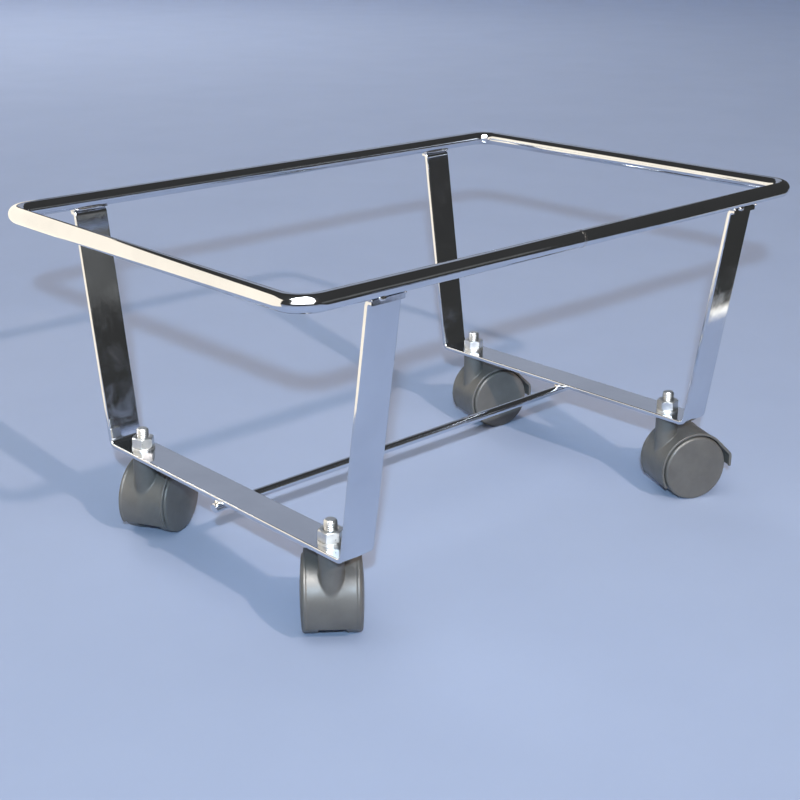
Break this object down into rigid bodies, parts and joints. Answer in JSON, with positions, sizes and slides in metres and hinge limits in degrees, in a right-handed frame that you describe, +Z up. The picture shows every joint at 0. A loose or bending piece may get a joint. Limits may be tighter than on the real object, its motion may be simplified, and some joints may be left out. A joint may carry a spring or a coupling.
{
  "type": "wheeled carrier frame",
  "caption": "Low rectangular carrier frame: a round-bar ring on two U-shaped flat-bar cradles joined by a tie rod, on twin-wheel swivel castors.",
  "frame": {"origin": "on the floor, under the middle of the ring", "axes": "+X along the long sides, +Y along the short sides, +Z up"},
  "size_m": [0.43, 0.293, 0.225],
  "materials": {
    "chrome_steel": "polished chrome plate",
    "zinc_steel": "bright zinc plate",
    "spring_steel": "phosphated spring steel",
    "axle_steel": "drawn steel",
    "housing_plastic": "satin moulded nylon",
    "wheel_plastic": "satin moulded nylon"
  },
  "bodies": {
    "frame": {"top_ring": "chrome_steel", "left_cradle": "chrome_steel", "right_cradle": "chrome_steel", "tie_rod": "chrome_steel", "front_left_stem": "zinc_steel", "front_left_snap_ring": "spring_steel", "front_left_washer": "zinc_steel", "front_left_nut": "zinc_steel", "rear_left_stem": "zinc_steel", "rear_left_snap_ring": "spring_steel", "rear_left_washer": "zinc_steel", "rear_left_nut": "zinc_steel", "front_right_stem": "zinc_steel", "front_right_snap_ring": "spring_steel", "front_right_washer": "zinc_steel", "front_right_nut": "zinc_steel", "rear_right_stem": "zinc_steel", "rear_right_snap_ring": "spring_steel", "rear_right_washer": "zinc_steel", "rear_right_nut": "zinc_steel"},
    "front_left_castor": {"front_left_housing": "housing_plastic", "front_left_axle": "axle_steel"},
    "front_left_wheel_a_body": {"front_left_wheel_a": "wheel_plastic"},
    "front_left_wheel_b_body": {"front_left_wheel_b": "wheel_plastic"},
    "rear_left_castor": {"rear_left_housing": "housing_plastic", "rear_left_axle": "axle_steel"},
    "rear_left_wheel_a_body": {"rear_left_wheel_a": "wheel_plastic"},
    "rear_left_wheel_b_body": {"rear_left_wheel_b": "wheel_plastic"},
    "front_right_castor": {"front_right_housing": "housing_plastic", "front_right_axle": "axle_steel"},
    "front_right_wheel_a_body": {"front_right_wheel_a": "wheel_plastic"},
    "front_right_wheel_b_body": {"front_right_wheel_b": "wheel_plastic"},
    "rear_right_castor": {"rear_right_housing": "housing_plastic", "rear_right_axle": "axle_steel"},
    "rear_right_wheel_a_body": {"rear_right_wheel_a": "wheel_plastic"},
    "rear_right_wheel_b_body": {"rear_right_wheel_b": "wheel_plastic"}
  },
  "joints": [
    {"name": "front_left_swivel", "type": "hinge", "parent": "frame", "child": "front_left_castor", "pos_m": [-0.1545, -0.095, 0.047], "axis": [0, 0, 1], "continuous": true},
    {"name": "front_left_wheel_a_spin", "type": "hinge", "parent": "front_left_castor", "child": "front_left_wheel_a_body", "pos_m": [-0.14422, -0.08274, 0.02325], "axis": [-0.766, 0.6428, 0], "continuous": true},
    {"name": "front_left_wheel_b_spin", "type": "hinge", "parent": "front_left_castor", "child": "front_left_wheel_b_body", "pos_m": [-0.14422, -0.08274, 0.02325], "axis": [-0.766, 0.6428, 0], "continuous": true},
    {"name": "rear_left_swivel", "type": "hinge", "parent": "frame", "child": "rear_left_castor", "pos_m": [-0.1545, 0.095, 0.047], "axis": [0, 0, 1], "continuous": true},
    {"name": "rear_left_wheel_a_spin", "type": "hinge", "parent": "rear_left_castor", "child": "rear_left_wheel_a_body", "pos_m": [-0.14024, 0.10226, 0.02325], "axis": [-0.454, 0.891, 0], "continuous": true},
    {"name": "rear_left_wheel_b_spin", "type": "hinge", "parent": "rear_left_castor", "child": "rear_left_wheel_b_body", "pos_m": [-0.14024, 0.10226, 0.02325], "axis": [-0.454, 0.891, 0], "continuous": true},
    {"name": "front_right_swivel", "type": "hinge", "parent": "frame", "child": "front_right_castor", "pos_m": [0.1545, -0.095, 0.047], "axis": [0, 0, 1], "continuous": true},
    {"name": "front_right_wheel_a_spin", "type": "hinge", "parent": "front_right_castor", "child": "front_right_wheel_a_body", "pos_m": [0.16906, -0.10164, 0.02325], "axis": [0.4147, 0.91, 0], "continuous": true},
    {"name": "front_right_wheel_b_spin", "type": "hinge", "parent": "front_right_castor", "child": "front_right_wheel_b_body", "pos_m": [0.16906, -0.10164, 0.02325], "axis": [0.4147, 0.91, 0], "continuous": true},
    {"name": "rear_right_swivel", "type": "hinge", "parent": "frame", "child": "rear_right_castor", "pos_m": [0.1545, 0.095, 0.047], "axis": [0, 0, 1], "continuous": true},
    {"name": "rear_right_wheel_a_spin", "type": "hinge", "parent": "rear_right_castor", "child": "rear_right_wheel_a_body", "pos_m": [0.16988, 0.09059, 0.02325], "axis": [0.2756, 0.9613, 0], "continuous": true},
    {"name": "rear_right_wheel_b_spin", "type": "hinge", "parent": "rear_right_castor", "child": "rear_right_wheel_b_body", "pos_m": [0.16988, 0.09059, 0.02325], "axis": [0.2756, 0.9613, 0], "continuous": true}
  ]
}
